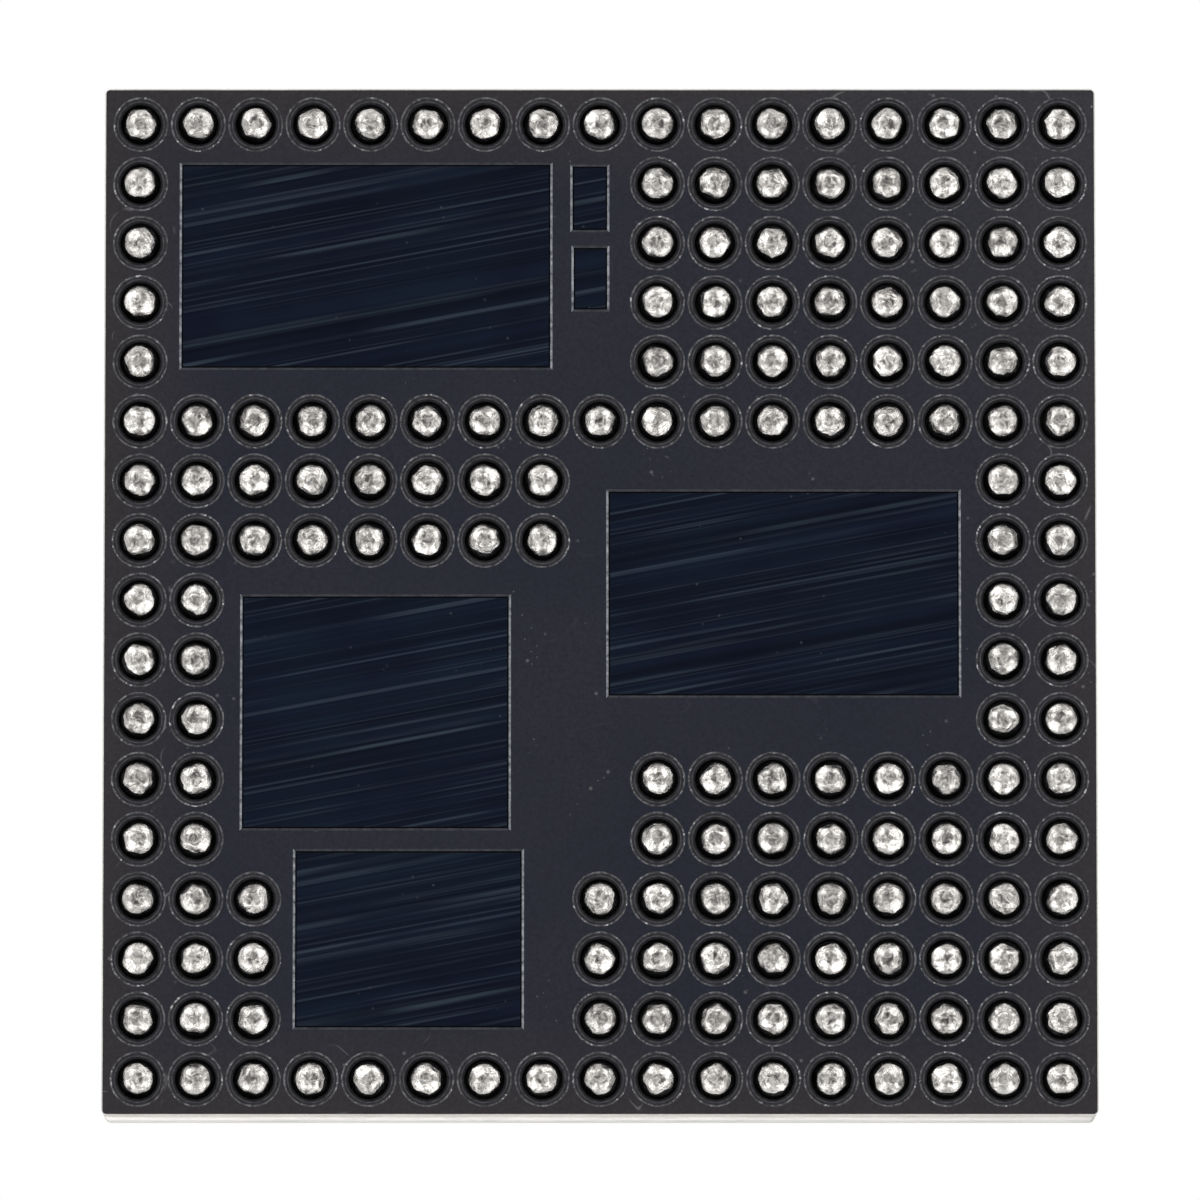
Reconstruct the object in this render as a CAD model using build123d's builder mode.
from build123d import *

import os
from math import atan, cos, degrees, pi, sin, sqrt

# Amplifier chip: a radio front-end module, moulded on both faces of its board, with a thin metal
# shield skin over the lid and the four sides and solder balls on the open face.
#
# The frame is in millimetres. +Z points out of the lid. +X and +Y run right and up when the lid is
# seen with its pin-1 ring at the upper left. The origin is the middle of the plane that the ball
# tips rest on. Ball columns are counted along +X from 1, and rows down from the +Y edge by letter.


# Driving dimensions: the ball grid
PITCH_X = 0.48
PITCH_Y = 0.50
EDGE_MARGIN = 0.30  # from the outermost ball centres to the chip's side
WELL_WEB = 0.03  # least wall between the mouths of two wells
WELL_FLARE = 0.065  # how much wider a well's mouth is than its root, in radius
WELL_GAP = 0.005  # between a well's root and the widest part of its ball, in radius
PAD_RADIUS = 0.13  # where a ball is soldered to its pad on the board
TIP_RADIUS = 0.10  # the flat that a ball's tip was pressed to
WIDEST_Z = 0.14  # height of a ball's widest part above its tip

# First and last column of each run of balls, row by row from the +Y edge
BALL_RUNS = {
    "a": [(1, 17)],
    "b": [(1, 8), (17, 17)],
    "c": [(1, 8), (17, 17)],
    "d": [(1, 8), (17, 17)],
    "e": [(1, 8), (17, 17)],
    "f": [(1, 17)],
    "g": [(1, 2), (10, 17)],
    "h": [(1, 2), (10, 17)],
    "j": [(1, 2), (16, 17)],
    "k": [(1, 2), (16, 17)],
    "l": [(1, 2), (16, 17)],
    "m": [(1, 8), (16, 17)],
    "n": [(1, 8), (16, 17)],
    "p": [(1, 9), (15, 17)],
    "r": [(1, 9), (15, 17)],
    "t": [(1, 9), (15, 17)],
    "u": [(1, 17)],
}

# Driving dimensions: the stack, from the ball tips up
STAND_OFF = 0.10  # how far the ball tips stand out of the lower moulding
DIE_THICK = 0.15
PILLAR_HEIGHT = 0.07
BOARD_THICK = 0.24
TOP_COVER = 0.19  # moulding over the tallest part on the lid side
SHIELD_SKIN = 0.01
CORE_CORNER = 0.025  # how far the upright corners of the sawn block are cut off, under the shield
CORE_EDGE = 0.015  # the softened edge round the block's top, which the shield follows

# Driving dimensions: the pin-1 mark, a ring and a dot burned into the lid near its -X, +Y corner
PIN_MARK_INSET_X = 1.60
PIN_MARK_INSET_Y = 0.93
PIN_RING_R = 0.20
PIN_RING_WIDTH = 0.08
PIN_DOT_R = 0.07
MARK_DEPTH = 0.004

# Driving dimensions: the dies on the ball side. Each edge is given by the ball column or row that
# it stands off from, and how far: to the right of a column or above a row is positive.
DIES = {
    "upper_die": {"west": (8, 0.895), "east": (17, -0.345), "south": ("f", 0.45), "north": ("a", -0.34)},
    "small_chip_upper": {"west": (8, 0.42), "east": (8, 0.71), "south": ("a", -0.89), "north": ("a", -0.355)},
    "small_chip_lower": {"west": (8, 0.42), "east": (8, 0.70), "south": ("a", -1.56), "north": ("a", -1.04)},
    "middle_die": {"west": (2, 0.37), "east": (10, -0.55), "south": ("m", 0.70), "north": ("f", -0.59)},
    "lower_die": {"west": (8, 1.24), "east": (16, -0.38), "south": ("p", 0.59), "north": ("h", -0.47)},
    "corner_die": {"west": (9, 0.65), "east": (15, -0.345), "south": ("u", 0.43), "north": ("p", 0.40)},
}
PILLAR_GRIDS = {
    "upper_die": (3, 2),
    "small_chip_upper": (1, 2),
    "small_chip_lower": (1, 2),
    "middle_die": (3, 2),
    "lower_die": (2, 2),
    "corner_die": (2, 2),
}
PILLAR_RADIUS = 0.05
PILLAR_INSET = 0.12  # from a die's edge to the centre of its outer pillars

# Driving dimensions: the parts on the lid side, in four banks across the board
AMPLIFIER_X = 1.90
AMPLIFIER_Y = 1.50
AMPLIFIER_THICK = 0.12
INDUCTOR_X = 0.60
INDUCTOR_Y = 0.40
INDUCTOR_HEIGHT = 0.33
CAPACITOR_X = 0.60
CAPACITOR_Y = 0.30
CAPACITOR_HEIGHT = 0.30
FILTER_X = 1.60
FILTER_Y = 1.20
FILTER_THICK = 0.25
PART_GAP = 0.30  # between neighbours in a bank
BANK_GAP = 0.55  # between two banks
INDUCTORS = 6
CAPACITORS = 7
AMPLIFIER_NAMES = ("amplifier_die_1", "amplifier_die_2")
FILTER_NAMES = ("filter_1", "filter_2", "filter_3", "filter_4")

# Flats that stand for round forms, few enough to keep 175 wells and balls light
WELL_SIDES = 8
BALL_SIDES = 6
PILLAR_SIDES = 6


# Worked-out places
ROWS = list(BALL_RUNS)
COLUMNS = max(last for runs in BALL_RUNS.values() for first, last in runs)
WELL_MOUTH_R = (min(PITCH_X, PITCH_Y) - WELL_WEB) / 2
WELL_ROOT_R = WELL_MOUTH_R - WELL_FLARE
BALL_RADIUS = WELL_ROOT_R - WELL_GAP
LOWER_MOULD_THICK = DIE_THICK + PILLAR_HEIGHT
UPPER_MOULD_THICK = max(AMPLIFIER_THICK, INDUCTOR_HEIGHT, CAPACITOR_HEIGHT, FILTER_THICK) + TOP_COVER
FACE_Z = STAND_OFF
DIE_TOP_Z = FACE_Z + DIE_THICK
BOARD_Z = FACE_Z + LOWER_MOULD_THICK
BOARD_TOP_Z = BOARD_Z + BOARD_THICK
CORE_TOP_Z = BOARD_TOP_Z + UPPER_MOULD_THICK
LID_Z = CORE_TOP_Z + SHIELD_SKIN
BODY_X = (COLUMNS - 1) * PITCH_X + 2 * EDGE_MARGIN
BODY_Y = (len(ROWS) - 1) * PITCH_Y + 2 * EDGE_MARGIN
CORE_X = BODY_X - 2 * SHIELD_SKIN
CORE_Y = BODY_Y - 2 * SHIELD_SKIN
SKIN_STEP = (2 - sqrt(2)) * SHIELD_SKIN  # keeps the skin as thick over a cut edge as elsewhere


def column_x(column):
    """The x of a ball column, counted from 1 at the -X edge."""
    return (column - (COLUMNS + 1) / 2) * PITCH_X


def row_y(letter):
    """The y of a ball row, by its letter."""
    return ((len(ROWS) - 1) / 2 - ROWS.index(letter)) * PITCH_Y


def row_places(letter):
    """The x and y of every ball in one row."""
    columns = [c for first, last in BALL_RUNS[letter] for c in range(first, last + 1)]
    return [(column_x(c), row_y(letter)) for c in columns]


def die_box(name):
    """Centre and size of a die on the ball side: x, y, width, depth."""
    edges = DIES[name]
    west, east = (column_x(edges[side][0]) + edges[side][1] for side in ("west", "east"))
    south, north = (row_y(edges[side][0]) + edges[side][1] for side in ("south", "north"))
    return (west + east) / 2, (south + north) / 2, east - west, north - south


def pillar_places(name):
    """The x and y of a die's pillars, in a grid set in from its edges."""
    x, y, width, depth = die_box(name)
    across, along = PILLAR_GRIDS[name]
    reach_x = width / 2 - PILLAR_INSET if across > 1 else 0
    reach_y = depth / 2 - PILLAR_INSET if along > 1 else 0
    steps_x = [2 * i / max(across - 1, 1) - 1 for i in range(across)]
    steps_y = [2 * j / max(along - 1, 1) - 1 for j in range(along)]
    return [(x + reach_x * i, y + reach_y * j) for i in steps_x for j in steps_y]


def bank_places(count, length, y):
    """The x and y of equal parts in one bank, centred on the board."""
    return [((i - (count - 1) / 2) * (length + PART_GAP), y) for i in range(count)]


def ring(radius, sides, z, half_steps):
    """Points evenly round a level circle, turned by a number of half steps."""
    turns = [(2 * i + half_steps) * pi / sides for i in range(sides)]
    return [(radius * cos(t), radius * sin(t), z) for t in turns]


# Heights in the board's banks, worked out from the middle of the board to both sides
INDUCTOR_BANK_Y = (BANK_GAP + INDUCTOR_Y) / 2
CAPACITOR_BANK_Y = -(BANK_GAP + CAPACITOR_Y) / 2
AMPLIFIER_BANK_Y = INDUCTOR_BANK_Y + (INDUCTOR_Y + AMPLIFIER_Y) / 2 + BANK_GAP
FILTER_BANK_Y = CAPACITOR_BANK_Y - (CAPACITOR_Y + FILTER_Y) / 2 - BANK_GAP

os.makedirs("parts", exist_ok=True)


# The sawn block under the shield, from the ball side to its softened top
with BuildPart() as block:
    with BuildSketch(Plane.XY.offset(FACE_Z)):
        Rectangle(CORE_X, CORE_Y)
    extrude(amount=CORE_TOP_Z - FACE_Z)
    chamfer(block.edges().filter_by(Axis.Z), CORE_CORNER)
    chamfer(block.faces().sort_by(Axis.Z)[-1].edges(), CORE_EDGE)


# Shield: a metal skin sputtered over the lid and the four sawn sides, open at the ball side. The
# pin-1 mark is sunk in its lid.
with BuildPart() as emi_shield:
    with BuildSketch(Plane.XY.offset(FACE_Z)):
        Rectangle(BODY_X, BODY_Y)
    extrude(amount=LID_Z - FACE_Z)
    chamfer(emi_shield.edges().filter_by(Axis.Z), CORE_CORNER + SKIN_STEP)
    chamfer(emi_shield.faces().sort_by(Axis.Z)[-1].edges(), CORE_EDGE + SKIN_STEP)
    add(block.part, mode=Mode.SUBTRACT)
    with BuildSketch(Plane.XY.offset(LID_Z)):
        with Locations((PIN_MARK_INSET_X - BODY_X / 2, BODY_Y / 2 - PIN_MARK_INSET_Y)):
            Circle(PIN_RING_R)
            Circle(PIN_RING_R - PIN_RING_WIDTH, mode=Mode.SUBTRACT)
            Circle(PIN_DOT_R)
    extrude(amount=-MARK_DEPTH, mode=Mode.SUBTRACT)
emi_shield.part.label = "emi_shield"
export_step(emi_shield.part, "parts/emi_shield.step")


# Board: the laminate that both faces are built on
with BuildPart() as board:
    with BuildSketch(Plane.XY.offset(BOARD_Z)):
        Rectangle(CORE_X, CORE_Y)
    extrude(amount=BOARD_THICK)
    chamfer(board.edges().filter_by(Axis.Z), CORE_CORNER)
board.part.label = "board"
export_step(board.part, "parts/board.step")


# Solder balls, one row to a node: soldered at the pad, widest near the well's mouth, flat at the tip
ball_points = [
    *ring(PAD_RADIUS, BALL_SIDES, BOARD_Z, 0),
    *ring(BALL_RADIUS, BALL_SIDES, WIDEST_Z, 1),
    *ring(TIP_RADIUS, BALL_SIDES, 0, 0),
]
for letter in ROWS:
    with BuildPart() as ball_row:
        with Locations(*row_places(letter)):
            ConvexPolyhedron(ball_points)
    ball_row.part.label = f"ball_row_{letter}"
    export_step(ball_row.part, f"parts/ball_row_{letter}.step")


# Dies on the ball side, their backs ground flush with the lower moulding, and their copper pillars
dies = {}
pillars = {}
for name in DIES:
    x, y, width, depth = die_box(name)
    with BuildPart() as die:
        with BuildSketch(Plane.XY.offset(FACE_Z)):
            with Locations((x, y)):
                Rectangle(width, depth)
        extrude(amount=DIE_THICK)
    die.part.label = name
    export_step(die.part, f"parts/{name}.step")
    dies[name] = die.part

    with BuildPart() as die_pillars:
        with BuildSketch(Plane.XY.offset(DIE_TOP_Z)):
            with Locations(*pillar_places(name)):
                RegularPolygon(PILLAR_RADIUS, PILLAR_SIDES)
        extrude(amount=PILLAR_HEIGHT)
    die_pillars.part.label = f"{name}_pillars"
    export_step(die_pillars.part, f"parts/{name}_pillars.step")
    pillars[name] = die_pillars.part


# One well: a flared bore burned through the moulding to bare a ball, from mouth to board
with BuildPart() as well:
    with BuildSketch(Plane.XY.offset(FACE_Z)):
        RegularPolygon(WELL_MOUTH_R, WELL_SIDES, major_radius=False, rotation=180 / WELL_SIDES)
    extrude(amount=LOWER_MOULD_THICK, taper=degrees(atan(WELL_FLARE / LOWER_MOULD_THICK)))


# Lower moulding: it closes round the dies and pillars, and holds a well for every ball
with BuildPart() as lower_mould:
    with BuildSketch(Plane.XY.offset(FACE_Z)):
        Rectangle(CORE_X, CORE_Y)
    extrude(amount=LOWER_MOULD_THICK)
    chamfer(lower_mould.edges().filter_by(Axis.Z), CORE_CORNER)
    with Locations(*[place for letter in ROWS for place in row_places(letter)]):
        add(well.part, mode=Mode.SUBTRACT)
    add([*dies.values(), *pillars.values()], mode=Mode.SUBTRACT)
lower_mould.part.label = "lower_mould"
export_step(lower_mould.part, "parts/lower_mould.step")


# Parts on the lid side: amplifier dies, filters, chip inductors and chip capacitors
buried = []


def bank(label, places, length, width, height):
    """Plain blocks standing on the board, written as one node of separate solids."""
    with BuildPart() as blocks:
        with BuildSketch(Plane.XY.offset(BOARD_TOP_Z)):
            with Locations(*places):
                Rectangle(length, width)
        extrude(amount=height)
    blocks.part.label = label
    export_step(blocks.part, f"parts/{label}.step")
    buried.append(blocks.part)


for name, place in zip(AMPLIFIER_NAMES, bank_places(len(AMPLIFIER_NAMES), AMPLIFIER_X, AMPLIFIER_BANK_Y)):
    bank(name, [place], AMPLIFIER_X, AMPLIFIER_Y, AMPLIFIER_THICK)
for name, place in zip(FILTER_NAMES, bank_places(len(FILTER_NAMES), FILTER_X, FILTER_BANK_Y)):
    bank(name, [place], FILTER_X, FILTER_Y, FILTER_THICK)
inductor_places = bank_places(INDUCTORS, INDUCTOR_X, INDUCTOR_BANK_Y)
bank("chip_inductors", inductor_places, INDUCTOR_X, INDUCTOR_Y, INDUCTOR_HEIGHT)
capacitor_places = bank_places(CAPACITORS, CAPACITOR_X, CAPACITOR_BANK_Y)
bank("chip_capacitors", capacitor_places, CAPACITOR_X, CAPACITOR_Y, CAPACITOR_HEIGHT)


# Upper moulding: it buries the parts on the lid side, and carries the shield
with BuildPart() as upper_mould:
    with BuildSketch(Plane.XY.offset(BOARD_TOP_Z)):
        Rectangle(CORE_X, CORE_Y)
    extrude(amount=UPPER_MOULD_THICK)
    chamfer(upper_mould.edges().filter_by(Axis.Z), CORE_CORNER)
    chamfer(upper_mould.faces().sort_by(Axis.Z)[-1].edges(), CORE_EDGE)
    add(buried, mode=Mode.SUBTRACT)
upper_mould.part.label = "upper_mould"
export_step(upper_mould.part, "parts/upper_mould.step")
